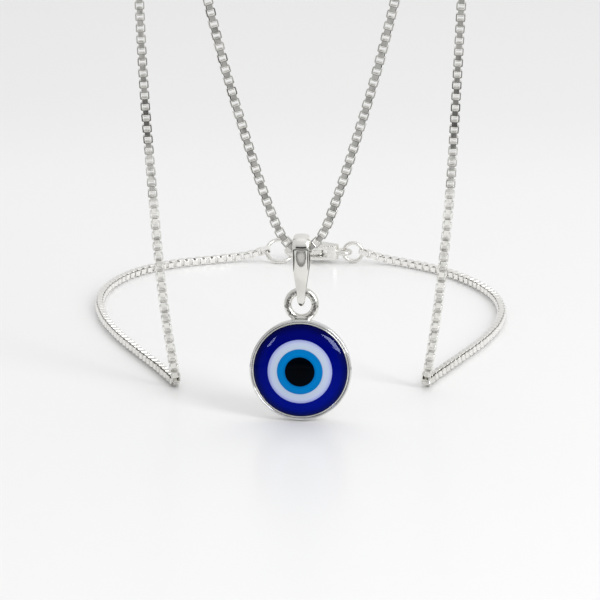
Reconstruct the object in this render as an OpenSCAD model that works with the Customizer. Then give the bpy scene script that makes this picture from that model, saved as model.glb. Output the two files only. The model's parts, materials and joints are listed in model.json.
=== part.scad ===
// Evil eye pendant on a silver box chain, hung over a thin bar.
// Millimetres, +Z up, +X to the wearer's left as seen from the front, +Y to the back.
// The origin lies on the bar's axis, midway between the two places where the chain passes over it.

/* [Chain] */
// Width of the chain across its flat faces
chain_w = 1; // [0.8:0.05:1.1]
// Width of the flat strip that each link is folded from
strip_w = 0.55; // [0.4:0.05:0.7]

/* [Bail] */
// Greatest width of the bail, seen from the front
bail_w = 1.76; // [1.4:0.02:2]
// Thickness of the bail's domed strip at its top
bail_wall = 0.44; // [0.3:0.02:0.6]
// Distance from the middle of the upper opening to the middle of the loop's wire
bail_span = 4.5; // [3.6:0.1:6]
// Radius of the bail's rounded lower tip, seen from the side
bail_tip_r = 0.72; // [0.65:0.01:0.8]
// Distance from the middle of the loop's wire down to the middle of the tip
bail_tip_drop = 0.86; // [0.7:0.02:1]
// How far the chain climbs between the middle and the edges of the bail
chain_climb = 0.54; // [0.4:0.02:0.7]

/* [Pendant loop] */
// Diameter of the hole in the loop
loop_hole = 1.95; // [1.8:0.05:2.4]
// Thickness of the loop's round wire
loop_wire = 0.78; // [0.6:0.02:0.9]
// Width of the foot that joins the loop to the bezel
foot_w = 2.5; // [1.6:0.1:3]
// Thickness of the foot from front to back
foot_t = 0.9; // [0.6:0.05:1.2]
// Height of the foot above the bezel's top
foot_h = 0.2; // [0.1:0.05:0.4]
// How deep the loop is sunk into the top of the bezel
loop_sink = 0.35; // [0.05:0.05:0.5]
// How far the pendant leans back from the vertical, in degrees
pendant_tilt = 4; // [0:1:8]

/* [Bezel] */
// Outer diameter of the bezel
bezel_d = 10.2; // [8:0.1:14]
// Depth of the bezel from its front edge to its back
bezel_depth = 1.7; // [1.5:0.05:2.6]
// Width of the rim around the glass
rim_w = 0.44; // [0.36:0.02:0.6]
// Thickness of the bezel's back
back_t = 0.4; // [0.3:0.05:0.6]

/* [Glass eye] */
// Height of the glass dome above its own edge
dome_h = 1; // [0.6:0.05:1.6]
// How far the edge of the glass lies below the front of the rim
edge_drop = 0.22; // [0.1:0.02:0.4]
// Outer diameter of the white ring
white_d = 6.4; // [5.6:0.05:7]
// Outer diameter of the light blue ring
iris_d = 4.55; // [3.6:0.05:5]
// Diameter of the black pupil
pupil_d = 2.95; // [2:0.05:3.4]

/* [Clasp] */
// Middle radius of the hook's curve
hook_r = 1.45; // [1.4:0.05:1.7]
// Thickness of the hook
hook_wire = 0.8; // [0.7:0.02:0.86]
// Thickness of the clasp's body
clasp_t = 1.8; // [1.6:0.1:2.2]
// Distance from the hook's middle to the rivet
rivet_x = 2.6; // [2.5:0.05:2.9]
// Distance from the hook's middle to the tail's eye
tail_x = 5.6; // [5.4:0.1:6.4]
// Middle radius of the tail's eye
eye_r = 0.8; // [0.75:0.05:0.95]
// Thickness of the tail's eye
eye_wire = 0.6; // [0.5:0.02:0.7]
// Thickness of the lever
lever_t = 0.7; // [0.6:0.05:0.9]
// Diameter of the rivet
rivet_d = 0.5; // [0.4:0.02:0.6]

/* [Rings at the ends] */
// Outer diameter of the soldered ring that the hook catches
end_ring_d = 3.8; // [3.7:0.1:4.2]
// Thickness of that ring's wire
end_ring_wire = 0.46; // [0.4:0.02:0.5]
// Outer diameter of the jump ring at the tail
jump_ring_d = 2.8; // [2.7:0.1:3.2]
// Thickness of the jump ring's wire
jump_ring_wire = 0.45; // [0.36:0.01:0.5]

/* [Clearances] */
// Clearance between the chain and the bail's upper opening
bail_clear = 0.08; // [0.04:0.01:0.12]
// Clearance around the loop's wire in the bail
loop_clear = 0.11; // [0.1:0.01:0.14]
// Gap between neighbouring pieces of glass and metal in the eye
glass_gap = 0.02; // [0.01:0.005:0.04]
// Clearance of the lever in its slot and against the hook
lever_clear = 0.08; // [0.06:0.01:0.1]
// Clearance between the hook and the ring that it holds
hook_clear = 0.15; // [0.1:0.01:0.18]
// Running clearance between the rivet and the lever
rivet_clear = 0.03; // [0.02:0.01:0.05]
// Distance from the end of each half of the chain to the ring that it holds
ring_clear = 0.15; // [0.12:0.01:0.2]

/* [Hidden] */
$fn = 64;

silver = "Silver";
cobalt = "MediumBlue";

// The middle of the clasp's hook, seen from above, and how far the two rings reach from it
clasp_x = -6;
clasp_y = 64;
end_ring_r = (end_ring_d - end_ring_wire) / 2;
end_ring_reach = hook_r - hook_wire / 2 - hook_clear + end_ring_d - end_ring_wire;
jump_ring_r = (jump_ring_d - jump_ring_wire) / 2;
jump_ring_reach = tail_x + jump_ring_r + jump_ring_d / 2;

// The chain's two halves, from the middle of the V over the bar and along the surface to the clasp
left_route = [
    [0, -1.05, -63.75], [-0.7, -1.05, -63.6], [-1.3, -1.05, -63.15], [-1.9, -1.05, -62.45], [-2.5, -1.05, -61.3],
    [-3.6, -1.1, -58.5], [-5.3, -1.15, -53.2], [-7.5, -1.25, -45.6], [-9.5, -1.4, -37.3], [-11.4, -1.55, -28.1],
    [-13.1, -1.7, -18.1], [-14.6, -1.9, -9], [-15.9, -2, -1.5], [-16.2, -1.7, 1.2], [-16.4, 0, 2.2],
    [-16.5, 1.7, 1.2], [-16.6, 2, -1.5], [-16.7, 2.1, -12], [-16.7, 2.4, -24], [-16.5, 2.9, -36],
    [-16.2, 3.7, -48], [-15.6, 4.9, -60], [-14.9, 6.2, -71], [-14.3, 7, -76.5], [-14, 7.5, -79],
    [-13.9, 7.9, -80], [-14.1, 8.5, -80.43], [-14.7, 9.8, -80.43], [-16.4, 13.4, -80.43], [-19.6, 19.6, -80.43],
    [-23.2, 27, -80.43], [-25.8, 34, -80.43], [-27.3, 41, -80.43], [-27.2, 48, -80.43], [-25.2, 54.4, -80.43],
    [clasp_x - 15.2, clasp_y - 4.7, -80.43], [clasp_x - 9.8, clasp_y - 1.6, -80.43],
    [clasp_x - 6.4, clasp_y - 0.3, -80.2],
    [clasp_x - end_ring_reach - ring_clear, clasp_y, -79.65]
];
right_route = [
    [0, -1.05, -63.75], [0.7, -1.05, -63.6], [1.3, -1.05, -63.15], [1.9, -1.05, -62.45], [2.5, -1.05, -61.3],
    [3.5, -1.1, -58.5], [5.2, -1.15, -53.2], [7.4, -1.25, -45.6], [9.4, -1.4, -37.3], [11.3, -1.55, -28.1],
    [13.1, -1.7, -18.1], [14.6, -1.9, -9], [15.9, -2, -1.5], [16.1, -1.7, 1.2], [16.2, 0, 2.2],
    [16.2, 1.7, 1.2], [16.2, 2, -1.5], [16.1, 2.6, -12], [15.8, 3.4, -24], [15.4, 4.3, -36],
    [14.9, 5.3, -48], [14.3, 6.5, -60], [13.3, 8, -71], [12.6, 9, -76.5], [12.2, 9.5, -79],
    [12, 9.9, -80], [12.1, 10.6, -80.43], [12.5, 12, -80.43], [13.5, 15, -80.43], [15.6, 21, -80.43],
    [17.6, 27, -80.43], [19.1, 33.6, -80.43], [19.5, 40.5, -80.43], [18.4, 47.4, -80.43], [15.7, 53.6, -80.43],
    [clasp_x + 17.7, clasp_y - 5, -80.43], [clasp_x + 13.4, clasp_y - 1.6, -80.43],
    [clasp_x + 10.2, clasp_y - 0.2, -80.2],
    [clasp_x + jump_ring_reach + ring_clear, clasp_y, -79.65]
];
// The chain lies on the surface on one of its edges
lying_z = min([for (p = left_route) p[2]]);
floor_z = lying_z - norm([chain_w, strip_w]) / 2;

// A link's outline, across its two flat strips
link_outline = [
    [chain_w / 2, strip_w / 2], [strip_w / 2, chain_w / 2], [-strip_w / 2, chain_w / 2], [-chain_w / 2, strip_w / 2],
    [-chain_w / 2, -strip_w / 2], [-strip_w / 2, -chain_w / 2], [strip_w / 2, -chain_w / 2], [chain_w / 2, -strip_w / 2]
];

// The bail's openings: the upper one holds the climbing chain, the lower one the loop's wire
v_bottom = left_route[0];
bail_top = v_bottom + [0, 0, chain_climb / 2];
bail_bore_r = norm([(chain_w + chain_climb) / 2, strip_w / 2]) + bail_clear;
bail_top_r = bail_bore_r + bail_wall;
bail_loop_r = loop_wire / 2 + loop_clear;
bail_tip_z = -bail_span - bail_tip_drop;
// Half the bail's width as a share of its greatest half, by height as a share of the bail's height
bail_shares = [
    [0, 0.44], [0.03, 0.46], [0.06, 0.47], [0.11, 0.5], [0.17, 0.54], [0.3, 0.66], [0.42, 0.8], [0.53, 0.9],
    [0.75, 0.93], [0.84, 0.95], [0.9, 0.97], [0.96, 0.96], [1, 0.9]
];
// The strip's cross-section: share of the half width, share of the thickness from the flat inside
dome_section = [[-1, 0], [1, 0], [1, 0.3], [0.8, 0.66], [0.45, 0.92], [0, 1], [-0.45, 0.92], [-0.8, 0.66], [-1, 0.3]];
arc_steps = 12;
leg_steps = 10;

// The pendant hangs with the loop's wire in the bail's lower opening
loop_mid_r = (loop_hole + loop_wire) / 2;
loop_pivot = bail_top - [0, 0, bail_span];
loop_mid = loop_pivot - [0, 0, loop_mid_r];
eye_mid = loop_mid - [0, 0, loop_mid_r + loop_wire / 2 + bezel_d / 2 - loop_sink];

// The bezel's and the glass's radii and heights, measured forward from the bezel's middle plane
bezel_r = bezel_d / 2;
glass_r = bezel_r - rim_w;
rim_z = bezel_depth / 2;
pocket_z = back_t - rim_z;
edge_z = rim_z - edge_drop;
dome_power = 2.6;
white_depth = 0.9;
iris_depth = 0.6;
pupil_depth = 0.35;

// The clasp is propped up flat between its two rings, which rest on the surface
clasp_at = [clasp_x, clasp_y, floor_z + jump_ring_d / 2];
end_ring_tilt = asin((jump_ring_d - end_ring_wire) / 2 / end_ring_r);
end_ring_at = clasp_at - [end_ring_reach - end_ring_d / 2, 0, 0];
jump_ring_at = clasp_at + [tail_x + jump_ring_r, 0, 0];
// The rivet, the gate's tip inside the hook's tip, and the thumb tab on the clasp's back
rivet_at = [rivet_x, 0.1];
gate_tip_r = 0.2;
gate_tip = [0, lever_clear + gate_tip_r + hook_wire / 2 - hook_r];
thumb_tip = [rivet_x + 0.5, 2.1];
thumb_r = 0.34;
lever_hub_r = rivet_d / 2 + 0.25;
shoulder_at = [2.2, 0.35];
shoulder_r = 1.5;
tail_end_at = [tail_x - eye_r - eye_wire, 0];
tail_end_r = 0.8;

function unit(v) = v / norm(v);

// Direction of a route at one of its points; the first end lies square to the plane of symmetry
function heading(route, i) =
    i == 0 ? [sign(route[1][0]), 0, 0]
           : unit(route[min(i + 1, len(route) - 1)] - route[i - 1]);

// A link's front face at a point, carried along the route without twist
function face_normal(route, i) =
    i == 0 ? [0, 1, 0]
           : let(n = face_normal(route, i - 1), t = heading(route, i)) unit(n - (n * t) * t);

function link_ring(route, i) =
    let(n = face_normal(route, i), s = cross(heading(route, i), n))
    [for (c = link_outline) route[i] + c[0] * s + c[1] * n];

// Faces of a skin over rows of points, each row closed; the ends are capped unless the rows close up too
function skin_faces(rows, per_row, closed = false) = concat(
    [for (i = [0 : rows - (closed ? 1 : 2)], j = [0 : per_row - 1])
        let(k = (j + 1) % per_row, next = (i + 1) % rows)
        [i * per_row + j, next * per_row + j, next * per_row + k, i * per_row + k]],
    closed ? [] : [[for (j = [0 : per_row - 1]) j], [for (j = [per_row - 1 : -1 : 0]) (rows - 1) * per_row + j]]
);

module chain_tube(route) {
    rings = [for (i = [0 : len(route) - 1]) link_ring(route, i)];
    polyhedron(points = [for (r = rings, p = r) p],
               faces = skin_faces(len(rings), len(link_outline)), convexity = 6);
}

// Two circles and the straight sides that touch both
module taper(a, ra, b, rb) {
    along = unit(b - a);
    lean = asin((ra - rb) / norm(b - a));
    turn = atan2(along[1], along[0]);
    left = [cos(turn + 90 - lean), sin(turn + 90 - lean)];
    right = [cos(turn - 90 + lean), sin(turn - 90 + lean)];
    translate(a) circle(ra);
    translate(b) circle(rb);
    polygon([a + ra * left, a + ra * right, b + rb * right, b + rb * left]);
}

// Points around a teardrop in the YZ plane: a large circle at the top, a small one below
function teardrop(top_r, low_z, low_r) =
    let(lean = asin((top_r - low_r) / -low_z), from = -lean, to = 180 + lean,
        upper = [for (i = [0 : arc_steps]) let(a = from + (to - from) * i / arc_steps) top_r * [cos(a), sin(a)]],
        lower = [for (i = [0 : arc_steps]) let(a = to + (360 - lean - to) * i / arc_steps)
            [0, low_z] + low_r * [cos(a), sin(a)]],
        down = [for (i = [1 : leg_steps - 1]) upper[arc_steps] + (lower[0] - upper[arc_steps]) * i / leg_steps],
        up = [for (i = [1 : leg_steps - 1]) lower[arc_steps] + (upper[0] - lower[arc_steps]) * i / leg_steps])
    concat(upper, down, lower, up);

module bail() {
    inside = teardrop(bail_bore_r, -bail_span, bail_loop_r);
    outside = teardrop(bail_top_r, bail_tip_z, bail_tip_r);
    height = bail_top_r - bail_tip_z + bail_tip_r;
    points = [for (i = [0 : len(inside) - 1])
        let(share = (outside[i][1] - bail_tip_z + bail_tip_r) / height, half = bail_w / 2 * lookup(share, bail_shares))
        for (c = dome_section)
            let(p = inside[i] + (outside[i] - inside[i]) * c[1]) [half * c[0], p[0], p[1]]];
    color(silver) translate(bail_top)
        polyhedron(points = points, faces = skin_faces(len(inside), len(dome_section), closed = true), convexity = 4);
}

// Height of the dome over the bezel's middle plane
function dome_z(r) = edge_z + dome_h * pow(1 - pow(min(r, glass_r) / glass_r, dome_power), 1 / dome_power);

// Leans the pendant back about the loop's wire in the bail
module hung() {
    translate(loop_pivot) rotate([-pendant_tilt, 0, 0]) translate(-loop_pivot) children();
}

// Turns a profile drawn as radius and height into a solid that faces forward
module turned(profile) {
    translate(eye_mid) rotate([90, 0, 0]) rotate_extrude() polygon(profile);
}

// A piece of glass between two radii, from a flat bottom up to the dome
module glass_piece(inner_r, outer_r, bottom, steps) {
    turned(concat(
        [[inner_r, bottom], [outer_r, bottom]],
        [for (i = [steps : -1 : 0]) let(r = inner_r + (outer_r - inner_r) * i / steps) [r, dome_z(r)]]
    ));
}

// A disc of glass with a pocket in its front for the next colour
module glass_cup(outer_r, bottom, pocket_r, pocket_bottom, steps) {
    turned(concat(
        [[0, bottom], [outer_r, bottom]],
        [for (i = [steps : -1 : 0]) let(r = pocket_r + (outer_r - pocket_r) * i / steps) [r, dome_z(r)]],
        [[pocket_r, pocket_bottom], [0, pocket_bottom]]
    ));
}

// The depths of the colours, one under the other
centre_z = dome_z(0);
white_z = centre_z - white_depth;
iris_z = centre_z - iris_depth;
pupil_z = centre_z - pupil_depth;

module blue_glass() {
    color(cobalt) hung() glass_cup(glass_r - glass_gap, pocket_z + glass_gap, white_d / 2 + glass_gap, white_z - glass_gap, 8);
}

module white_ring() {
    color("White") hung() glass_cup(white_d / 2, white_z, iris_d / 2 + glass_gap, iris_z - glass_gap, 3);
}

module light_blue_ring() {
    color("DodgerBlue") hung() glass_cup(iris_d / 2, iris_z, pupil_d / 2 + glass_gap, pupil_z - glass_gap, 3);
}

module pupil() {
    color("Black") hung() glass_piece(0, pupil_d / 2, pupil_z, 2);
}

// The bezel's cup with its double rim, the loop on its foot, all soldered together
module bezel() {
    groove = rim_w / 2;
    bead = groove * 0.8;
    color(silver) hung() {
        turned([
            [0, -rim_z], [bezel_r * 0.78, -rim_z], [bezel_r * 0.9, -rim_z * 0.82], [bezel_r * 0.97, -rim_z * 0.5],
            [bezel_r, -rim_z * 0.05], [bezel_r, rim_z * 0.88], [bezel_r - bead / 3, rim_z],
            [bezel_r - bead, rim_z], [bezel_r - groove, rim_z * 0.9], [glass_r + bead, rim_z],
            [glass_r + bead / 3, rim_z], [glass_r, rim_z * 0.9], [glass_r, pocket_z], [0, pocket_z]
        ]);
        translate(loop_mid) rotate([90, 0, 0]) rotate_extrude() translate([loop_mid_r, 0]) circle(loop_wire / 2);
        difference() {
            translate([eye_mid[0] - foot_w / 2, eye_mid[1] - foot_t / 2, eye_mid[2] + bezel_r - groove])
                cube([foot_w, foot_t, groove + foot_h]);
            translate(loop_mid) rotate([90, 0, 0]) cylinder(h = 2 * foot_t, r = loop_mid_r, center = true);
        }
    }
}

module end_ring() {
    color(silver) translate(end_ring_at) rotate([end_ring_tilt, 0, 0])
        rotate_extrude() translate([end_ring_r, 0]) circle(end_ring_wire / 2);
}

module jump_ring() {
    color(silver) translate(jump_ring_at) rotate([90, 0, 0])
        rotate_extrude() translate([jump_ring_r, 0]) circle(jump_ring_wire / 2);
}

// The clasp's hook runs from its shoulder round to the gate
hook_from = 30;
hook_to = 272;

module clasp_body() {
    slot_t = lever_t + 2 * lever_clear;
    gate_slot_y = 0.65;
    thumb_slot_w = 1;
    thumb_slot_back = 1.5;
    color(silver) translate(clasp_at) {
        rotate([0, 0, hook_from]) rotate_extrude(angle = hook_to - hook_from)
            translate([hook_r, 0]) circle(hook_wire / 2);
        difference() {
            translate([0, 0, -clasp_t / 2]) linear_extrude(clasp_t) taper(shoulder_at, shoulder_r, tail_end_at, tail_end_r);
            cylinder(h = 2 * clasp_t, r = hook_r, center = true);
            translate([-hook_r, -3 * hook_r, -slot_t / 2])
                cube([hook_r + rivet_x + thumb_slot_w, 3 * hook_r + gate_slot_y, slot_t]);
            translate([rivet_x - thumb_slot_w, 0, -slot_t / 2]) cube([thumb_slot_w + thumb_slot_back, 3 * hook_r, slot_t]);
            translate([rivet_at[0], rivet_at[1], 0]) cylinder(h = 2 * clasp_t, r = rivet_d / 2 + glass_gap, center = true);
        }
        translate([tail_x, 0, 0]) rotate_extrude() translate([eye_r, 0]) circle(eye_wire / 2);
    }
}

module clasp_lever() {
    color(silver) translate(clasp_at) difference() {
        translate([0, 0, -lever_t / 2]) linear_extrude(lever_t) {
            taper(rivet_at, lever_hub_r, gate_tip, gate_tip_r);
            taper(rivet_at, lever_hub_r, thumb_tip, thumb_r);
        }
        translate([rivet_at[0], rivet_at[1], 0])
            cylinder(h = 2 * lever_t, r = rivet_d / 2 + rivet_clear, center = true);
    }
}

module clasp_rivet() {
    color(silver) translate(clasp_at + [rivet_at[0], rivet_at[1], 0])
        cylinder(h = clasp_t, r = rivet_d / 2, center = true);
}

color(silver) chain_tube(left_route);  // chain_left
color(silver) chain_tube(right_route);  // chain_right
bail();
bezel();
blue_glass();
white_ring();
light_blue_ring();
pupil();
end_ring();
clasp_body();
clasp_lever();
clasp_rivet();
jump_ring();
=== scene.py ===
# Evil eye pendant on a silver box chain, hung over a thin bar.
# Each section follows the piece as it is put together, from the chain to the clasp.
import json
import math

import bmesh
import bpy
import numpy as np
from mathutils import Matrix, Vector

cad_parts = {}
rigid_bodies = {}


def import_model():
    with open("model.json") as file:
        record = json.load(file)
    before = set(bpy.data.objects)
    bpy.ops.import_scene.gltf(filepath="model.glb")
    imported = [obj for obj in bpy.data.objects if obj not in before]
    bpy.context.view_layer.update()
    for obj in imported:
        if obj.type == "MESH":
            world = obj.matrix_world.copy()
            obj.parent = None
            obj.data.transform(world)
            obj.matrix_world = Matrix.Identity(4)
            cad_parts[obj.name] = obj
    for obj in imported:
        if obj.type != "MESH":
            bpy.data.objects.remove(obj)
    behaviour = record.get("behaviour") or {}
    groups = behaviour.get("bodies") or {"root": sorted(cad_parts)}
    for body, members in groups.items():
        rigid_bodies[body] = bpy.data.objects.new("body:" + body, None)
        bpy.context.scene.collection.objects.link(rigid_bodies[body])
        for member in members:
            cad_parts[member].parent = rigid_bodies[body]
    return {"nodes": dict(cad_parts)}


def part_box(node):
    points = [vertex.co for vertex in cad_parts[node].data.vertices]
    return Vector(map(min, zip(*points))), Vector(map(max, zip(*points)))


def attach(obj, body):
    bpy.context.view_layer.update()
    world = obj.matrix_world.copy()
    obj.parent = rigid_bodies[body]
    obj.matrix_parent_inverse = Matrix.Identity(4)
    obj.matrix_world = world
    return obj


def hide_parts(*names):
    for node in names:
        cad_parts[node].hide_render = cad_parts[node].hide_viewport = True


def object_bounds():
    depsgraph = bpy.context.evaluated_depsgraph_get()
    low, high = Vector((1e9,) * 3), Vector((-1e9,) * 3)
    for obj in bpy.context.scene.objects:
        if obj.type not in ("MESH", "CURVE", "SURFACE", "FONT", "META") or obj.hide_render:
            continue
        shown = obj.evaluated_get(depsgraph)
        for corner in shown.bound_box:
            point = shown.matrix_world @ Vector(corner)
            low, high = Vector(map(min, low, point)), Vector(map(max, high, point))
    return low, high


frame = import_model()
cad_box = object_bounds()
scene = bpy.context.scene

# Camera
# A long lens looks a little down on the pendant, from slightly to its right. The scene is in metres, and the
# sizes of the pieces are written in millimetres.
MM = 0.001
camera = bpy.data.objects.new("camera", bpy.data.cameras.new("camera"))
camera.data.sensor_width = 36
camera.data.lens = 156.6
camera.data.clip_start = 10 * MM
camera.location = (21.7 * MM, -250.89 * MM, -3.57 * MM)
camera.rotation_euler = (math.radians(75.4), 0, math.radians(5))
scene.collection.objects.link(camera)
scene.camera = camera

# Chain
# A 1 mm box chain: each link is a silver strip folded into a rounded square, and the next one is turned a
# quarter. It is plated with rhodium, which gives a cool white mirror with fine tumbling marks.
chain_width = 0.96
strip_width = 0.56
strip_thickness = 0.13
strip_bevel = 0.015
strip_bow = 0.006
link_length = 0.83
link_corner = 0.16
link_pitch = 0.57
flat_row = 0.03
end_link_length = 1.3
end_link_past = 0.19
end_link_room = 0.5
route_step = 0.15
# How unevenly the links lie: degrees about the chain, and a share of their length sideways
twist_scatter = 1.2
lean_scatter = 0.01
# The route's points are those of the part's source: from the middle of the V over the bar to the ring
left_route = [
    (0, -1.05, -63.75), (-0.7, -1.05, -63.6), (-1.3, -1.05, -63.15), (-1.9, -1.05, -62.45),
    (-2.5, -1.05, -61.3), (-3.6, -1.1, -58.5), (-5.3, -1.15, -53.2), (-7.5, -1.25, -45.6),
    (-9.5, -1.4, -37.3), (-11.4, -1.55, -28.1), (-13.1, -1.7, -18.1), (-14.6, -1.9, -9), (-15.9, -2, -1.5),
    (-16.2, -1.7, 1.2), (-16.4, 0, 2.2), (-16.5, 1.7, 1.2), (-16.6, 2, -1.5), (-16.7, 2.1, -12),
    (-16.7, 2.4, -24), (-16.5, 2.9, -36), (-16.2, 3.7, -48), (-15.6, 4.9, -60), (-14.9, 6.2, -71),
    (-14.3, 7, -76.5), (-14, 7.5, -79), (-13.9, 7.9, -80), (-14.1, 8.5, -80.43), (-14.7, 9.8, -80.43),
    (-16.4, 13.4, -80.43), (-19.6, 19.6, -80.43), (-23.2, 27, -80.43), (-25.8, 34, -80.43),
    (-27.3, 41, -80.43), (-27.2, 48, -80.43), (-25.2, 54.4, -80.43), (-21.2, 59.3, -80.43),
    (-15.8, 62.4, -80.43), (-12.4, 63.7, -80.2), (-10.39, 64, -79.65),
]
right_route = [
    (0, -1.05, -63.75), (0.7, -1.05, -63.6), (1.3, -1.05, -63.15), (1.9, -1.05, -62.45),
    (2.5, -1.05, -61.3), (3.5, -1.1, -58.5), (5.2, -1.15, -53.2), (7.4, -1.25, -45.6), (9.4, -1.4, -37.3),
    (11.3, -1.55, -28.1), (13.1, -1.7, -18.1), (14.6, -1.9, -9), (15.9, -2, -1.5), (16.1, -1.7, 1.2),
    (16.2, 0, 2.2), (16.2, 1.7, 1.2), (16.2, 2, -1.5), (16.1, 2.6, -12), (15.8, 3.4, -24), (15.4, 4.3, -36),
    (14.9, 5.3, -48), (14.3, 6.5, -60), (13.3, 8, -71), (12.6, 9, -76.5), (12.2, 9.5, -79), (12, 9.9, -80),
    (12.1, 10.6, -80.43), (12.5, 12, -80.43), (13.5, 15, -80.43), (15.6, 21, -80.43), (17.6, 27, -80.43),
    (19.1, 33.6, -80.43), (19.5, 40.5, -80.43), (18.4, 47.4, -80.43), (15.7, 53.6, -80.43),
    (11.7, 59, -80.43), (7.4, 62.4, -80.43), (4.2, 63.8, -80.2), (2.325, 64, -79.65),
]


def linear(hex_colour):
    """An sRGB colour such as #c0c2c4 as linear red, green, blue and alpha."""
    channels = [int(hex_colour[i:i + 2], 16) / 255 for i in (1, 3, 5)]
    return [c / 12.92 if c <= 0.04045 else ((c + 0.055) / 1.055) ** 2.4 for c in channels] + [1.0]


def node(tree, kind, settings=None, **links):
    """Adds one node. Settings are its properties. Links are its inputs, by name or by number such as _0, and
    each holds a value or the output that is joined to it."""
    new = tree.nodes.new("ShaderNode" + kind)
    for name, value in (settings or {}).items():
        setattr(new, name, value)
    for name, value in links.items():
        socket = new.inputs[int(name[1:])] if name[1:].isdigit() else new.inputs[name.replace("_", " ")]
        if isinstance(value, bpy.types.NodeSocket):
            tree.links.new(value, socket)
        else:
            socket.default_value = value
    return new


def material(name):
    """An empty material with its shader, which the caller fills in."""
    new = bpy.data.materials.new(name)
    new.use_nodes = True
    return new, new.node_tree, new.node_tree.nodes["Principled BSDF"]


def set_stops(shade, stops):
    """Gives a colour ramp its stops in order, each a place from 0 to 1 and a linear colour."""
    elements = shade.color_ramp.elements
    while len(elements) < len(stops):
        elements.new(1.0)
    for element, (place, colour) in zip(elements, stops):
        element.position, element.color = place, colour


def tint(shader, share, colour):
    """Lays a colour over the shader's own, by a share from 0 to 1."""
    tree, base = shader.id_data, shader.inputs["Base Color"]
    own = base.links[0].from_socket
    mixed = node(tree, "Mix", {"data_type": "RGBA"}, _0=share, _6=own, _7=linear(colour))
    tree.links.new(mixed.outputs[2], base)


def polished_silver(name, colour, roughness, mark_mm, mark_depth_mm, tarnish="#c8c7c2"):
    """Rhodium-plated silver: a mirror whose gloss is broken by polishing marks, with a faint film on it."""
    new, tree, shader = material(name)
    place = node(tree, "TexCoord").outputs["Object"]
    marks = node(tree, "TexNoise", Vector=place, Scale=1 / (mark_mm * MM), Detail=3.0, Roughness=0.6)
    film_mm = 6 * mark_mm
    film = node(tree, "TexNoise", Vector=place, Scale=1 / (film_mm * MM), Detail=2.0)
    shade = node(tree, "ValToRGB", Fac=film.outputs["Fac"])
    set_stops(shade, [(0.3, linear(tarnish)), (0.55, linear(colour))])
    gloss = node(tree, "MapRange", Value=marks.outputs["Fac"], From_Min=0.3, From_Max=0.75,
                 To_Min=roughness * 0.7, To_Max=roughness * 1.5)
    bump = node(tree, "Bump", Height=marks.outputs["Fac"], Strength=1.0, Distance=mark_depth_mm * MM)
    tree.links.new(shade.outputs["Color"], shader.inputs["Base Color"])
    tree.links.new(gloss.outputs["Result"], shader.inputs["Roughness"])
    tree.links.new(bump.outputs["Normal"], shader.inputs["Normal"])
    shader.inputs["Metallic"].default_value = 1.0
    return new


def piece(name, points, faces, made_of, body, replaced=(), crease=35):
    """One modelled piece from points in millimetres, fixed to its body in place of the plain solids."""
    mesh = bpy.data.meshes.new(name)
    mesh.from_pydata((np.asarray(points, float) * MM).tolist(), [], [list(map(int, f)) for f in faces])
    shell = bmesh.new()
    shell.from_mesh(mesh)
    bmesh.ops.recalc_face_normals(shell, faces=shell.faces)
    shell.to_mesh(mesh)
    shell.free()
    mesh.shade_smooth()
    mesh.set_sharp_from_angle(angle=math.radians(crease))
    mesh.materials.append(made_of)
    new = bpy.data.objects.new(name, mesh)
    scene.collection.objects.link(new)
    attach(new, body)
    if replaced:
        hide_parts(*replaced)
    return new


def between(knots, i, j, t, u, v):
    """The point at t on the line from u at one knot to v at another."""
    return ((knots[j] - t) * u + (t - knots[i]) * v) / (knots[j] - knots[i])


def smooth_curve(points, step):
    """A Catmull-Rom curve through the points, as points about one step apart."""
    p = np.asarray(points, float)
    p = np.vstack([2 * p[0] - p[1], p, 2 * p[-1] - p[-2]])
    rows = []
    for a, b, c, d in zip(p, p[1:], p[2:], p[3:]):
        knots = np.cumsum([0] + [math.sqrt(np.linalg.norm(w)) for w in (b - a, c - b, d - c)])
        count = max(2, int(np.linalg.norm(c - b) / step))
        for t in np.linspace(knots[1], knots[2], count, endpoint=False):
            ab, bc = between(knots, 0, 1, t, a, b), between(knots, 1, 2, t, b, c)
            cd = between(knots, 2, 3, t, c, d)
            abc, bcd = between(knots, 0, 2, t, ab, bc), between(knots, 1, 3, t, bc, cd)
            rows.append(between(knots, 1, 2, t, abc, bcd))
    return np.array(rows + [p[-2]])


def grid_faces(rows, per_row, first=0, closed=True):
    """Faces between rows of points, where each row is a ring. When closed, the last row joins the first."""
    faces = []
    for i in range(rows if closed else rows - 1):
        a, b = first + i * per_row, first + (i + 1) % rows * per_row
        faces += [(a + j, b + j, b + (j + 1) % per_row, a + (j + 1) % per_row) for j in range(per_row)]
    return faces


def folded_link(length):
    """A link's points around its fold: along the chain, across its own opening, and across its strip."""
    half = strip_width / 2
    section = [(0, half - strip_bevel), (strip_bevel, half), (strip_thickness, half),
               (strip_thickness, -half), (strip_bevel, -half), (0, strip_bevel - half), (-strip_bow, 0)]
    x, y = length / 2 - link_corner, chain_width / 2 - link_corner
    rows = []
    for quarter, (along, across) in enumerate([(x, y), (-x, y), (-x, -y), (x, -y)]):
        # A row just before and after each bend keeps the sides between the bends flat
        for turn, past in ((0, -flat_row), (0, 0), (30, 0), (60, 0), (90, 0), (90, flat_row)):
            a = math.radians(90 * quarter + turn)
            for depth, side in section:
                reach = link_corner - depth
                rows.append((along + reach * math.cos(a) - past * math.sin(a),
                             across + reach * math.sin(a) + past * math.cos(a), side))
    return np.array(rows), grid_faces(len(rows) // len(section), len(section))


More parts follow.
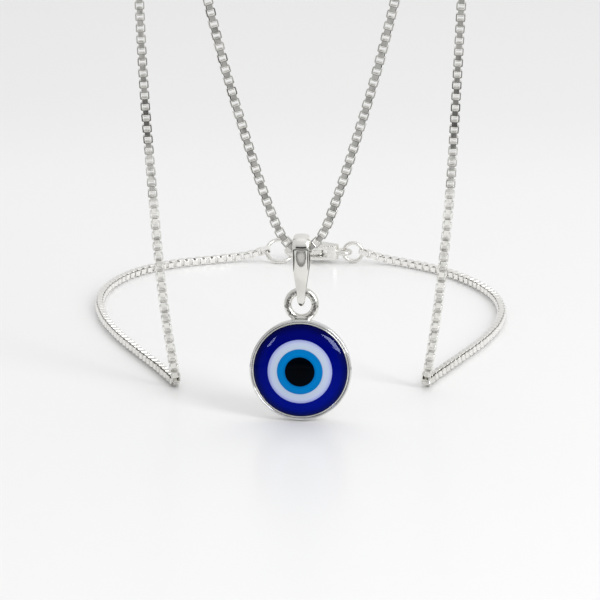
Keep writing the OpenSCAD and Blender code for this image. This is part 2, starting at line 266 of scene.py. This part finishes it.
def chain_half(name, route, replaced, twists, ring_wire, first_link):
    """The links of one half, from the middle of the V to the ring at its end. The twists say how far the
    chain is turned about itself, as millimetres along it and degrees."""
    line = smooth_curve(route, route_step)
    reach = np.concatenate([[0], np.cumsum(np.linalg.norm(np.diff(line, axis=0), axis=1))])
    heading = np.gradient(line, axis=0)
    heading /= np.linalg.norm(heading, axis=1)[:, None]
    heading[0] = (math.copysign(1, line[1][0]), 0, 0)
    face = np.zeros_like(line)
    face[0] = (0, 1, 0)
    for i in range(1, len(line)):
        face[i] = face[i - 1] - face[i - 1].dot(heading[i]) * heading[i]
        face[i] /= np.linalg.norm(face[i])
    last = reach[-1] - end_link_room
    count = round(last / link_pitch)
    template, link_faces = folded_link(link_length)
    chance = np.random.default_rng(11)
    points, faces = [], []

    def add(centre, along, across, strip, rows):
        faces.extend((np.array(link_faces) + len(points) * len(template)).tolist())
        points.append(centre + rows[:, :1] * along + rows[:, 1:2] * across + rows[:, 2:] * strip)

    for k in range(first_link, count + 1):
        at = k * last / count
        centre, t, n = (np.array([np.interp(at, reach, v[:, i]) for i in range(3)])
                        for v in (line, heading, face))
        t = t / np.linalg.norm(t)
        b = np.cross(t, n)
        turn = math.radians(np.interp(at, *zip(*twists)) + 90 * (k % 2) + chance.normal(0, twist_scatter))
        across = math.cos(turn) * n + math.sin(turn) * b
        t = t + chance.normal(0, lean_scatter) * n + chance.normal(0, lean_scatter) * b
        t /= np.linalg.norm(t)
        across = across - across.dot(t) * t
        across /= np.linalg.norm(across)
        add(centre, t, across, np.cross(t, across), template)
    # The last link is drawn longer, to take the ring
    t = heading[-1] / np.linalg.norm(heading[-1])
    strip = np.array(ring_wire) - np.dot(ring_wire, t) * t
    strip /= np.linalg.norm(strip)
    add(line[-1] + end_link_past * t, t, np.cross(strip, t), strip, folded_link(end_link_length)[0])
    return piece(name, np.vstack(points), faces, strip_silver, "necklace", replaced, crease=40)


strip_silver = polished_silver("rhodium_plated_silver_strip", "#edece7", 0.1, 0.12, 0.0006)
# Towards the clasp, where the chain lies on the sheet, its colour is painted whiter: painted light, for the
# light it catches there. Its gloss is also softer.
tree, shader = strip_silver.node_tree, strip_silver.node_tree.nodes["Principled BSDF"]
axes = node(tree, "SeparateXYZ", Vector=node(tree, "TexCoord").outputs["Object"])
painted_light_softer_gloss = node(tree, "MapRange", Value=axes.outputs["Y"], From_Min=8.5 * MM, From_Max=26 * MM)
# Painted light: the lying chain is tinted whiter
tint(shader, painted_light_softer_gloss.outputs["Result"], "#fbfaf7")
softer = node(tree, "Math", {"operation": "MULTIPLY_ADD"}, _0=painted_light_softer_gloss.outputs["Result"], _1=0.18,
              _2=shader.inputs["Roughness"].links[0].from_socket)
tree.links.new(softer.outputs["Value"], shader.inputs["Roughness"])
left_twists = [(0, 6), (3, 6), (7, 16), (60, 16), (80, 5), (500, 5)]
right_twists = [(0, -6), (500, -6)]
chain_half("box_chain_left", left_route, ["chain_left"], left_twists, (0, 1, 1), 0)
chain_half("box_chain_right", right_route, ["chain_right"], right_twists, (0, 0, 1), 1)

# Bail
# A tapered strip of cast silver with a domed face, folded over the chain and closed around the pendant's
# loop. It is the most polished piece: it mirrors the surface below it and the dark room in front.
bail_half_width = 0.88
bail_wall = 0.44
bail_span = 4.5
bail_tip_drop = 0.86
bail_tip_r = 0.72
bail_loop_r = 0.5
bail_bulge = 0.12
bail_edge_share = 0.28
top_steps, tip_steps, leg_steps = 41, 25, 31
bail_low, bail_high = (np.array(corner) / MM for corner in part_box("bail"))
bail_height = bail_high[2] - bail_low[2]
bail_top_r = (bail_high[1] - bail_low[1]) / 2
bail_middle = np.array([0, (bail_high[1] + bail_low[1]) / 2, bail_high[2] - bail_top_r])
# Half the width as a share of the greatest half, by height as a share of the bail's height
bail_shares = [(0, 0.44), (0.03, 0.46), (0.06, 0.47), (0.11, 0.5), (0.17, 0.54), (0.3, 0.66), (0.42, 0.8),
               (0.53, 0.9), (0.75, 0.93), (0.84, 0.95), (0.9, 0.97), (0.96, 0.96), (1, 0.9)]


def teardrop(top_r, low_z, low_r, bulge):
    """Points around a large circle and a small one below it, seen from the side, with slightly bowed legs."""
    lean = math.asin((top_r - low_r) / -low_z)
    upper = [top_r * np.array([math.cos(a), math.sin(a)])
             for a in np.linspace(-lean, math.pi + lean, top_steps)]
    lower = [np.array([0, low_z]) + low_r * np.array([math.cos(a), math.sin(a)])
             for a in np.linspace(math.pi + lean, 2 * math.pi - lean, tip_steps)]

    def leg(a, b):
        outward = np.array([b[1] - a[1], a[0] - b[0]]) / np.linalg.norm(b - a)
        return [a + (b - a) * s + bulge * math.sin(math.pi * s) ** 1.2 * outward
                for s in np.linspace(0, 1, leg_steps)[1:-1]]

    return np.array(upper + leg(upper[-1], lower[0]) + lower + leg(lower[-1], upper[0]))


bail_inside = teardrop(bail_top_r - bail_wall, -bail_span, bail_loop_r, 0)
bail_outside = teardrop(bail_top_r, -bail_span - bail_tip_drop, bail_tip_r, bail_bulge)
# The strip's section: across its width, and outwards as a share of the wall
dome = [(math.sin(a), bail_edge_share + (1 - bail_edge_share) * math.cos(a) ** 0.8)
        for a in np.radians(np.linspace(-88, 88, 17))]
bail_section = [(-0.97, 0.0), (-1, 0.04)] + dome
bail_section += [(1, 0.04), (0.97, 0.0), (0.4, -0.02), (0, -0.02), (-0.4, -0.02)]
share_curve = smooth_curve(bail_shares, 0.01)
bail_points = []
for inner, outer in zip(bail_inside, bail_outside):
    height = (outer[1] + bail_middle[2] - bail_low[2]) / bail_height
    half = bail_half_width * np.interp(height, share_curve[:, 0], share_curve[:, 1])
    for across, out in bail_section:
        side = inner + (outer - inner) * out
        bail_points.append(bail_middle + (half * across, side[0], side[1]))
bail_silver = polished_silver("rhodium_plated_cast_silver_polished", "#e6e5e0", 0.05, 0.3, 0.009, "#cfcec9")
# The crown keeps the uneven skin of the casting, which the polishing wheel took off the legs. Its top is also
# painted whiter: painted light from above.
tree, shader = bail_silver.node_tree, bail_silver.node_tree.nodes["Principled BSDF"]
place = node(tree, "TexCoord").outputs["Object"]
axes = node(tree, "SeparateXYZ", Vector=place)
crown = (bail_middle[2] + 0.1) * MM
skin_and_painted_light = node(tree, "MapRange", Value=axes.outputs["Z"], From_Min=crown, From_Max=crown + 0.5 * MM,
            To_Min=0.1, To_Max=1.0)
tree.links.new(skin_and_painted_light.outputs["Result"], tree.nodes["Bump"].inputs["Strength"])
frost = node(tree, "Math", {"operation": "MULTIPLY_ADD"}, _0=skin_and_painted_light.outputs["Result"], _1=0.12, _2=0.04)
tree.links.new(frost.outputs["Value"], shader.inputs["Roughness"])
# Painted light: the crown's top is tinted whiter
tint(shader, skin_and_painted_light.outputs["Result"], "#fbfaf6")
# A small spot at the bottom of the tip is darker
dark_spot_at = (-0.08 * MM, (bail_middle[1] - 0.58) * MM, (bail_low[2] + 0.3) * MM)
dark_spot_r, dark_spot_end_r = 0.13, 0.24
away = node(tree, "VectorMath", {"operation": "DISTANCE"}, _0=place, _1=dark_spot_at)
near = node(tree, "MapRange", Value=away.outputs["Value"], From_Min=dark_spot_r * MM, From_Max=dark_spot_end_r * MM,
            To_Min=1.0, To_Max=0.0)
tint(shader, near.outputs["Result"], "#5d5b56")
bail_faces = grid_faces(len(bail_inside), len(bail_section))
piece("domed_bail", bail_points, bail_faces, bail_silver, "bail", ["bail"])

# Bezel
# A thin cast cup around the glass. Its rim is a polished bead with a fine groove inside it and an inner lip
# that is pressed over the edge of the glass, and its back is plain. The pendant hangs leaning back a little.
pendant_lean = 4
loop_hole = 1.95
loop_wire = 0.78
loop_sink = 0.35
bezel_r = 5.1
rim_front = 0.85
rim_width = 0.44
rim_bead = 0.115
rim_lip = 0.085
lip_sink = 0.01
groove_width = 0.02
groove_depth = 0.16
back_bend = 0.42
back_bend_inset = 1.0
back_thickness = 0.4
glass_gap = 0.02
loop_mid_r = (loop_hole + loop_wire) / 2
pivot = bail_middle - (0, 0, bail_span)
loop_middle = pivot - (0, 0, loop_mid_r)
eye = loop_middle - (0, 0, loop_mid_r + loop_wire / 2 + bezel_r - loop_sink)
glass_r = bezel_r - rim_width
pocket = back_thickness - rim_front


def hung(points):
    """Turns points of the upright pendant back about the loop's wire in the bail."""
    a = math.radians(pendant_lean)
    x, y, z = (np.asarray(points, float) - pivot).T
    return np.column_stack([x, y * math.cos(a) + z * math.sin(a), z * math.cos(a) - y * math.sin(a)]) + pivot


def lathe(profile, turns=192):
    """Turns a profile of radius and height forward of the bezel's middle plane around the eye's axis. Its
    first and last points lie on the axis."""
    rows = len(profile) - 2
    points, faces = [], []
    for k in range(turns):
        angle = 2 * math.pi * k / turns
        points += [eye + (r * math.cos(angle), -z, r * math.sin(angle)) for r, z in profile[1:-1]]
    ends = [eye + (0, -z, 0) for r, z in (profile[0], profile[-1])]
    back, front = len(points), len(points) + 1
    for k in range(turns):
        a, b = k * rows, (k + 1) % turns * rows
        faces += [(a + j, b + j, b + j + 1, a + j + 1) for j in range(rows - 1)]
        faces += [(back, b, a), (front, a + rows - 1, b + rows - 1)]
    return hung(points + ends), faces


def arc(middle_r, middle_z, r, start, end, count):
    """Points of a profile around a bend, from one angle in degrees to another."""
    return [(middle_r + r * math.cos(a), middle_z + r * math.sin(a))
            for a in np.radians(np.linspace(start, end, count))]


# The cup's side widens forwards: inset from the rim's edge, and height as a share of the rim's
side_rows = [(0.36, -0.74), (0.11, -0.36), (0.02, 0.0), (0, 0.4)]
# The back and its bend, the side, the bead, the groove, the lip, and the pocket for the glass
bezel_profile = [(0, -rim_front), (bezel_r / 2, -rim_front)]
bezel_profile += arc(bezel_r - back_bend_inset, back_bend - rim_front, back_bend, 270, 300, 5)
bezel_profile += [(bezel_r - inset, rim_front * share) for inset, share in side_rows]
bezel_profile += arc(bezel_r - rim_bead, rim_front - rim_bead, rim_bead, 0, 160, 12)
bezel_profile += [(glass_r + 2 * rim_lip + groove_width, rim_front - groove_depth)]
bezel_profile += arc(glass_r + rim_lip, rim_front - rim_lip - lip_sink, rim_lip, 30, 180, 10)
bezel_profile += [(glass_r, rim_front - 0.3), (glass_r, pocket), (glass_r - 0.3, pocket), (0, pocket)]
rim_silver = polished_silver("rhodium_plated_cast_silver_rim", "#e6e6e5", 0.09, 0.25, 0.0012, "#dadad9")
points, faces = lathe(bezel_profile)
piece("bezel_cup", points, faces, rim_silver, "pendant", ["bezel"], crease=50)

# Pendant loop
# A ring of cast wire on a short foot, soldered to the top of the bezel. Its sides are polished, while the
# grain of the casting is left in the middle of its front and back.
foot_width = 2.5
foot_depth = 0.9
foot_taper = 0.45
foot_flare = 0.2
foot_overlap = 0.1
foot_seat_share = 0.93
foot_rows, foot_steps = 9, 24
ring_steps, wire_steps = 96, 32
# A power of 1 makes a section round, and a lower one makes it squarer
wire_power, foot_power = 0.85, 0.5
grain_mm = 0.15
grain_depth = 0.03
grain_r, grain_end_r = 0.12, 0.23
grain_low, grain_high = -1.3, -0.9
loop_points = []
for a in np.linspace(0, 2 * math.pi, ring_steps, endpoint=False):
    for b in np.linspace(0, 2 * math.pi, wire_steps, endpoint=False):
        out, front = (math.copysign(abs(f(b)) ** wire_power, f(b)) * loop_wire / 2
                      for f in (math.cos, math.sin))
        r = loop_mid_r + out
        loop_points.append(loop_middle + (r * math.cos(a), front, r * math.sin(a)))
foot_top, foot_bottom = loop_middle[2] - loop_mid_r + foot_overlap, eye[2] + bezel_r * foot_seat_share
foot_points = []
for share in np.linspace(0, 1, foot_rows):
    z = foot_bottom + (foot_top - foot_bottom) * share
    flare = foot_flare * (1 - share) ** 3
    half_width, half_depth = foot_width / 2 + flare - foot_taper * share, foot_depth / 2 + flare / 2
    for a in np.linspace(0, 2 * math.pi, foot_steps, endpoint=False):
        x, y = (math.copysign(abs(f(a)) ** foot_power, f(a)) for f in (math.cos, math.sin))
        foot_points.append(loop_middle + (x * half_width, y * half_depth, z - loop_middle[2]))
first = len(loop_points)
last = first + (foot_rows - 1) * foot_steps
loop_faces = grid_faces(ring_steps, wire_steps) + grid_faces(foot_rows, foot_steps, first, closed=False)
loop_faces += [tuple(range(row, row + foot_steps)) for row in (first, last)]


def tumble(thing, voxel_mm, passes):
    """Rounds a piece's edges and joints as tumbling does: a fine even mesh that is smoothed a few times."""
    fine = thing.modifiers.new("fine", "REMESH")
    fine.mode, fine.voxel_size = "VOXEL", voxel_mm * MM
    tumbled = thing.modifiers.new("tumbled", "SMOOTH")
    tumbled.iterations, tumbled.factor = passes, 0.5


def upright(tree):
    """Where a point of the leaning pendant lies in the upright one, for patterns that run around its axes."""
    place = node(tree, "TexCoord").outputs["Object"]
    return node(tree, "VectorRotate", {"rotation_type": "X_AXIS"}, Vector=place, Center=tuple(pivot * MM),
                Angle=math.radians(pendant_lean)).outputs["Vector"]


def from_axis(tree, place, middle):
    """A point's place from the middle, and its distance from the line that runs front to back through it."""
    shifted = node(tree, "VectorMath", {"operation": "SUBTRACT"}, Vector=place, _1=tuple(middle * MM))
    flat = node(tree, "VectorMath", {"operation": "MULTIPLY"}, Vector=shifted.outputs["Vector"], _1=(1, 0, 1))
    radius = node(tree, "VectorMath", {"operation": "LENGTH"}, Vector=flat.outputs["Vector"])
    return shifted.outputs["Vector"], radius.outputs["Value"]


loop_silver, tree, shader = material("rhodium_plated_cast_silver_as_cast")
loop = piece("bezel_loop", hung(loop_points + foot_points), loop_faces, loop_silver, "pendant", ["bezel"])
tumble(loop, 0.035, 6)
place = upright(tree)
shifted, radius = from_axis(tree, place, loop_middle)
from_middle = node(tree, "Math", {"operation": "SUBTRACT"}, _0=radius, _1=loop_mid_r * MM)
distance = node(tree, "Math", {"operation": "ABSOLUTE"}, _0=from_middle.outputs["Value"])
# The grain shows along the middle of the wire, and not on the foot
along = node(tree, "MapRange", {"interpolation_type": "SMOOTHSTEP"}, Value=distance.outputs["Value"],
             From_Min=grain_r * MM, From_Max=grain_end_r * MM, To_Min=1.0, To_Max=0.0)
height = node(tree, "SeparateXYZ", Vector=shifted)
above = node(tree, "MapRange", {"interpolation_type": "SMOOTHSTEP"}, Value=height.outputs["Z"],
             From_Min=grain_low * MM, From_Max=grain_high * MM)
cast = node(tree, "Math", {"operation": "MULTIPLY"}, _0=along.outputs["Result"], _1=above.outputs["Result"])
grain = node(tree, "TexNoise", Vector=place, Scale=1 / (grain_mm * MM), Detail=4.0, Roughness=0.7)
pits = node(tree, "MapRange", Value=grain.outputs["Fac"], From_Min=0.42, From_Max=0.58,
            To_Min=1.0, To_Max=0.0)
dark = node(tree, "Math", {"operation": "MULTIPLY"}, _0=pits.outputs["Result"], _1=cast.outputs["Value"])
shade = node(tree, "Mix", {"data_type": "RGBA"}, _0=dark.outputs["Value"], _6=linear("#e4e3de"),
             _7=linear("#5a5955"))
rough = node(tree, "MapRange", Value=cast.outputs["Value"], To_Min=0.07, To_Max=0.32)
uneven = node(tree, "Math", {"operation": "MULTIPLY_ADD"}, _0=cast.outputs["Value"], _1=0.82, _2=0.18)
relief = node(tree, "Math", {"operation": "MULTIPLY"}, _0=grain.outputs["Fac"], _1=uneven.outputs["Value"])
bump = node(tree, "Bump", Height=relief.outputs["Value"], Strength=1.0, Distance=grain_depth * MM)
tree.links.new(shade.outputs[2], shader.inputs["Base Color"])
tree.links.new(rough.outputs["Result"], shader.inputs["Roughness"])
tree.links.new(bump.outputs["Normal"], shader.inputs["Normal"])
shader.inputs["Metallic"].default_value = 1.0

# Glass eye
# Four colours of glass, each fused into a pocket in the next, ground to one dome and fire-polished. The
# surface is a clear mirror, and the cobalt blue is so deep that light shows through it only near its edge:
# that light is painted into its colour, darker at the top and lighter and greener towards the bottom.
white_r = 3.2
iris_r = 2.275
pupil_r = 1.475
white_depth = 0.9
iris_depth = 0.6
pupil_depth = 0.35
dome_height = 1.0
dome_power = 2.6
dome_steps = 25
edge_sink = 0.22
edge_bevel = 0.02
edge_front = rim_front - edge_sink
dome_front = edge_front + dome_height
colours_end = 5
swirl_mm = 2.5
swirl_shift = 0.12
light_reach = 4


def dome_z(r):
    """How far the dome's surface stands forward at a distance from its axis."""
    return edge_front + dome_height * (1 - min(r / glass_r, 1) ** dome_power) ** (1 / dome_power)


def glass(name, inner_r, outer_r, bottom, inner_depth, made_of):
    """A round of glass with a pocket for the next colour, or a whole dome where inner_r is 0."""
    edge = math.asin(min(outer_r / glass_r, 1) ** (dome_power / 2))
    start = math.asin((inner_r / glass_r) ** (dome_power / 2))
    radii = [glass_r * math.sin(a) ** (2 / dome_power) for a in np.linspace(edge, start, dome_steps)]
    profile = [(0, bottom), (outer_r - edge_bevel, bottom), (outer_r, bottom + edge_bevel)]
    profile += [(min(r, outer_r), dome_z(r)) for r in radii]
    if inner_r:
        inner_bottom = dome_front - inner_depth - glass_gap
        profile += [(inner_r, inner_bottom), (0, inner_bottom)]
    points, faces = lathe(profile)
    return piece(name, points, faces, made_of, "pendant", [name[:-6]], crease=50)


def fused_glass(name, colours, top=1.0, glow=(1.0, 1.0, 1.0)):
    """Opaque glass whose colour changes from the middle out, as the fused layers do: (radius in mm, colour).
    The colour is also scaled from top at the top to glow at the bottom: painted light, for the light that
    enters at the top and leaves at the bottom."""
    new, tree, shader = material(name)
    place = upright(tree)
    shifted, radius = from_axis(tree, place, eye)
    swirl = node(tree, "TexNoise", Vector=place, Scale=1 / (swirl_mm * MM), Detail=1.0)
    bent = node(tree, "Math", {"operation": "MULTIPLY_ADD"}, _0=swirl.outputs["Fac"], _1=swirl_shift * MM,
                _2=radius)
    share = node(tree, "MapRange", Value=bent.outputs["Value"], From_Min=0.0, From_Max=colours_end * MM)
    shade = node(tree, "ValToRGB", Fac=share.outputs["Result"])
    set_stops(shade, [(r / colours_end, linear(colour)) for r, colour in colours])
    # Painted light: the colour is darker at the top and lighter towards the bottom
    height = node(tree, "SeparateXYZ", Vector=shifted)
    way_down = node(tree, "MapRange", Value=height.outputs["Z"], From_Min=light_reach * MM,
                    From_Max=-light_reach * MM)
    lit = node(tree, "Mix", {"data_type": "RGBA"}, _0=way_down.outputs["Result"], _6=(top, top, top, 1),
               _7=(*glow, 1))
    colour = node(tree, "Mix", {"data_type": "RGBA", "blend_type": "MULTIPLY"}, _0=1.0,
                  _6=shade.outputs["Color"], _7=lit.outputs[2])
    tree.links.new(colour.outputs[2], shader.inputs["Base Color"])
    shader.inputs["Roughness"].default_value = 0.03
    shader.inputs["IOR"].default_value = 1.5
    shader.inputs["Specular IOR Level"].default_value = 0.03
    return new


seam = glass_gap / 2
# The cobalt is painted darker from 4 mm out to its rim: painted shade along the bezel
cobalt_glass = fused_glass("cobalt_glass_fire_polished",
                           [(3.2, "#01067c"), (4.0, "#000678"), (4.55, "#000452")], 0.75, (1.3, 3.2, 1.3))
white_glass = fused_glass("white_glass_fire_polished",
                          [(2.28, "#b2c2e0"), (2.55, "#c0cee2"), (2.95, "#c0cbe6"), (3.2, "#a0aae0")])
blue_glass = fused_glass("turquoise_glass_fire_polished",
                         [(1.48, "#0062aa"), (1.8, "#007cc8"), (2.28, "#0878c0")])
black_glass = fused_glass("black_glass_fire_polished", [(0, "#000204"), (1.5, "#00040a")])
glass("blue_glass_piece", white_r + seam, glass_r - 0.01, pocket + glass_gap, white_depth,
      cobalt_glass)
glass("white_ring_piece", iris_r + seam, white_r + seam, dome_front - white_depth, iris_depth,
      white_glass)
glass("light_blue_ring_piece", pupil_r + seam, iris_r + seam, dome_front - iris_depth, pupil_depth,
      blue_glass)
glass("pupil_piece", 0, pupil_r + seam, dome_front - pupil_depth, 0, black_glass)

# Clasp and its rings
# A cast lobster clasp with a sprung lever on a rivet, a soldered ring that its hook catches, and a jump ring
# that holds its tail to the chain. Tumbling has rounded their edges and left a soft polish.
clasp_silver = polished_silver("rhodium_plated_cast_silver_tumbled", "#f4f3ef", 0.24, 0.3, 0.002, "#e6e5e0")
for name, body in (("clasp_body", "necklace"), ("clasp_lever", "lever")):
    solid = frame["nodes"][name].data
    rows = np.zeros(len(solid.vertices) * 3)
    solid.vertices.foreach_get("co", rows)
    faces = [tuple(f.vertices) for f in solid.polygons]
    tumble(piece(name + "_tumbled", rows.reshape(-1, 3) / MM, faces, clasp_silver, body, [name]), 0.045, 8)
for name in ("end_ring", "jump_ring", "clasp_rivet"):
    frame["nodes"][name].data.materials.clear()
    frame["nodes"][name].data.materials.append(clasp_silver)

# Surface and light
# A glossy white sheet under the pendant. A window on the right gives the long highlight on the glass and the
# soft shadows to the left. The silver mirrors the sheet near it, and around that the darker table.
floor_z = cad_box[0][2]
sheet_near = -42.5 * MM
sheet_far = 0.01
sheet_side = 36 * MM
table_drop = 0.5 * MM
stage_near = -0.9
stage_far = stage_side = 1.2
acrylic, tree, shader = material("white_acrylic_sheet")
place = node(tree, "TexCoord").outputs["Object"]
depth = node(tree, "SeparateXYZ", Vector=place)
# The sheet is painted a little greyer from 100 to 180 mm behind the pendant: painted shade, for the weaker
# light on its far part
back = node(tree, "MapRange", {"interpolation_type": "SMOOTHSTEP"}, Value=depth.outputs["Y"], From_Min=0.1,
            From_Max=0.18)
shade = node(tree, "Mix", {"data_type": "RGBA"}, _0=back.outputs["Result"], _6=linear("#f7f7f7"),
             _7=linear("#f2f2f2"))
tree.links.new(shade.outputs[2], shader.inputs["Base Color"])
shader.inputs["Roughness"].default_value = 0.25
shader.inputs["Specular IOR Level"].default_value = 0.1
# How bright the table is, by the distance in front of the pendant and to its sides in millimetres
front_tones = [(37, 0.22), (45, 0.22), (48.2, 0.44), (49.8, 0.8), (53, 0.82), (56, 0.62), (58, 0.45),
               (61, 0.18), (65, 0.05), (70, 0.07), (76, 0.14), (84, 0.22), (92, 0.29), (110, 0.41),
               (135, 0.5), (180, 0.47)]
side_tones = [(36, 0.12), (58, 0.12), (66, 0.75), (150, 0.75)]
tones_end = 180


def grey(value):
    """A neutral linear colour."""
    return (value, value, value, 1)


table, tree, shader = material("table_around_lit")
place = node(tree, "TexCoord").outputs["Object"]
axes = node(tree, "SeparateXYZ", Vector=place)
ahead = node(tree, "Math", {"operation": "MULTIPLY"}, _0=axes.outputs["Y"], _1=-1.0)
aside = node(tree, "Math", {"operation": "ABSOLUTE"}, _0=axes.outputs["X"])
shades = []
for distance, tones in ((ahead, front_tones), (aside, side_tones)):
    share = node(tree, "MapRange", Value=distance.outputs["Value"], From_Min=0.0, From_Max=tones_end * MM)
    shade = node(tree, "ValToRGB", Fac=share.outputs["Result"])
    set_stops(shade, [(millimetres / tones_end, grey(value)) for millimetres, value in tones])
    shades.append(shade.outputs["Color"])
# The side tones hold beside the sheet, and further out where the way ahead is under 1.6 times the way aside
slant = node(tree, "Math", {"operation": "MULTIPLY"}, _0=aside.outputs["Value"], _1=1.6)
limit = node(tree, "Math", {"operation": "MAXIMUM"}, _0=slant.outputs["Value"], _1=-sheet_near)
beside = node(tree, "Math", {"operation": "LESS_THAN"}, _0=ahead.outputs["Value"], _1=limit.outputs["Value"])
tone = node(tree, "Mix", {"data_type": "RGBA"}, _0=beside.outputs["Value"], _6=shades[0], _7=shades[1])
glow = node(tree, "Emission", Color=tone.outputs[2], Strength=1.0)
tree.links.new(glow.outputs["Emission"], tree.nodes["Material Output"].inputs["Surface"])


def plane(name, rectangles, made_of):
    """A flat stage piece from rectangles, each given by its left, near, right and far edges and height."""
    mesh = bpy.data.meshes.new(name)
    points = [p for x0, y0, x1, y1, z in rectangles
              for p in ((x0, y0, z), (x1, y0, z), (x1, y1, z), (x0, y1, z))]
    mesh.from_pydata(points, [], [tuple(range(4 * i, 4 * i + 4)) for i in range(len(rectangles))])
    mesh.materials.append(made_of)
    new = bpy.data.objects.new(name, mesh)
    scene.collection.objects.link(new)
    return new


around = [(-stage_side, stage_near, stage_side, sheet_near),
          (-stage_side, sheet_near, -sheet_side, sheet_far),
          (sheet_side, sheet_near, stage_side, sheet_far)]
plane("sheet", [(-sheet_side, sheet_near, sheet_side, sheet_far, floor_z),
                (-stage_side, sheet_far, stage_side, stage_far, floor_z)], acrylic)
plane("sheet_around", [edges + (floor_z,) for edges in around], acrylic).visible_glossy = False
# The pieces mirror the table around the sheet, while the camera sees the sheet go on without an edge
mirrored = plane("table_around", [edges + (floor_z - table_drop,) for edges in around], table)
mirrored.visible_camera = mirrored.visible_diffuse = mirrored.visible_shadow = False

# The room in front is dark at eye level and bright above. To the sides and behind it is an even light grey
world = bpy.data.worlds.new("studio")
scene.world = world
world.use_nodes = True
tree = world.node_tree
way = node(tree, "TexCoord").outputs["Generated"]
parts = node(tree, "SeparateXYZ", Vector=way)
behind = node(tree, "MapRange", {"interpolation_type": "SMOOTHSTEP"}, Value=parts.outputs["Y"],
              From_Min=-0.35, From_Max=0.35)
height = node(tree, "MapRange", Value=parts.outputs["Z"], From_Min=-1.0, From_Max=1.0)
front = node(tree, "ValToRGB", Fac=height.outputs["Result"])
# From straight down at 0 to straight up at 1
room_tones = [(0.0, 0.5), (0.48, 0.06), (0.505, 0.03), (0.585, 0.05), (0.64, 0.62), (0.76, 0.74), (0.9, 0.78),
              (0.95, 0.88), (0.985, 1.0)]
set_stops(front, [(share, grey(value)) for share, value in room_tones])
sideways = node(tree, "Math", {"operation": "ABSOLUTE"}, _0=parts.outputs["X"])
beside = node(tree, "MapRange", {"interpolation_type": "SMOOTHSTEP"}, Value=sideways.outputs["Value"],
              From_Min=0.42, From_Max=0.56)
before = node(tree, "Mix", {"data_type": "RGBA"}, _0=beside.outputs["Result"], _6=front.outputs["Color"],
              _7=grey(0.78))
room = node(tree, "Mix", {"data_type": "RGBA"}, _0=behind.outputs["Result"], _6=before.outputs[2],
            _7=grey(0.83))
background = tree.nodes["Background"]
tree.links.new(room.outputs[2], background.inputs["Color"])
# The room is brighter towards its window
windowed = node(tree, "MapRange", Value=parts.outputs["X"], From_Min=-0.7, From_Max=0.7,
                To_Min=0.82, To_Max=0.98)
tree.links.new(windowed.outputs["Result"], background.inputs["Strength"])

# The window and its card show in the glass much brighter than the silver takes them, so they are lit apart
glass_only = bpy.data.collections.new("glass_eye")
silver_only = bpy.data.collections.new("silver_parts")
stage_names = ("sheet", "sheet_around", "table_around")
glass_names = ("blue_glass_piece", "white_ring_piece", "light_blue_ring_piece", "pupil_piece")
for part in scene.objects:
    if part.type == "MESH" and part.name not in stage_names:
        (glass_only if part.name in glass_names else silver_only).objects.link(part)
# Each lamp's way round and way up in degrees, its distance, width and height in metres, and its radiance
lamps = [("window", 52, 29, 0.45, 0.15, 0.3, 5.8),
         ("window_in_silver", 52, 29, 0.46, 0.153, 0.307, 6.0),
         ("window_in_glass", 51, 30, 0.42, 0.28, 0.2, 125),
         ("card_in_glass", -35.5, 20, 0.42, 0.054, 0.1, 90),
         ("overhead", 175, 60, 0.45, 0.5, 0.5, 0.5)]
for name, azimuth, elevation, distance, width, tall, radiance in lamps:
    lamp = bpy.data.objects.new(name, bpy.data.lights.new(name, "AREA"))
    lamp.data.shape, lamp.data.size, lamp.data.size_y = "RECTANGLE", width, tall
    lamp.data.energy = radiance * math.pi * width * tall
    a, e = math.radians(azimuth), math.radians(elevation)
    lamp.location = (distance * math.sin(a) * math.cos(e), -distance * math.cos(a) * math.cos(e),
                     floor_z + distance * math.sin(e))
    lamp.rotation_euler = (math.pi / 2 - e, 0, a)
    lamp.visible_glossy = "_in_" in name
    if name.endswith("glass"):
        # The glass shows the daylight's blue, which the silver's own warm tone hides
        lamp.data.color = linear("#c6d1ff")[:3]
    if lamp.visible_glossy:
        lamp.visible_diffuse = False
        lamp.light_linking.receiver_collection = glass_only if name.endswith("glass") else silver_only
    scene.collection.objects.link(lamp)
scene.view_settings.view_transform = "Standard"
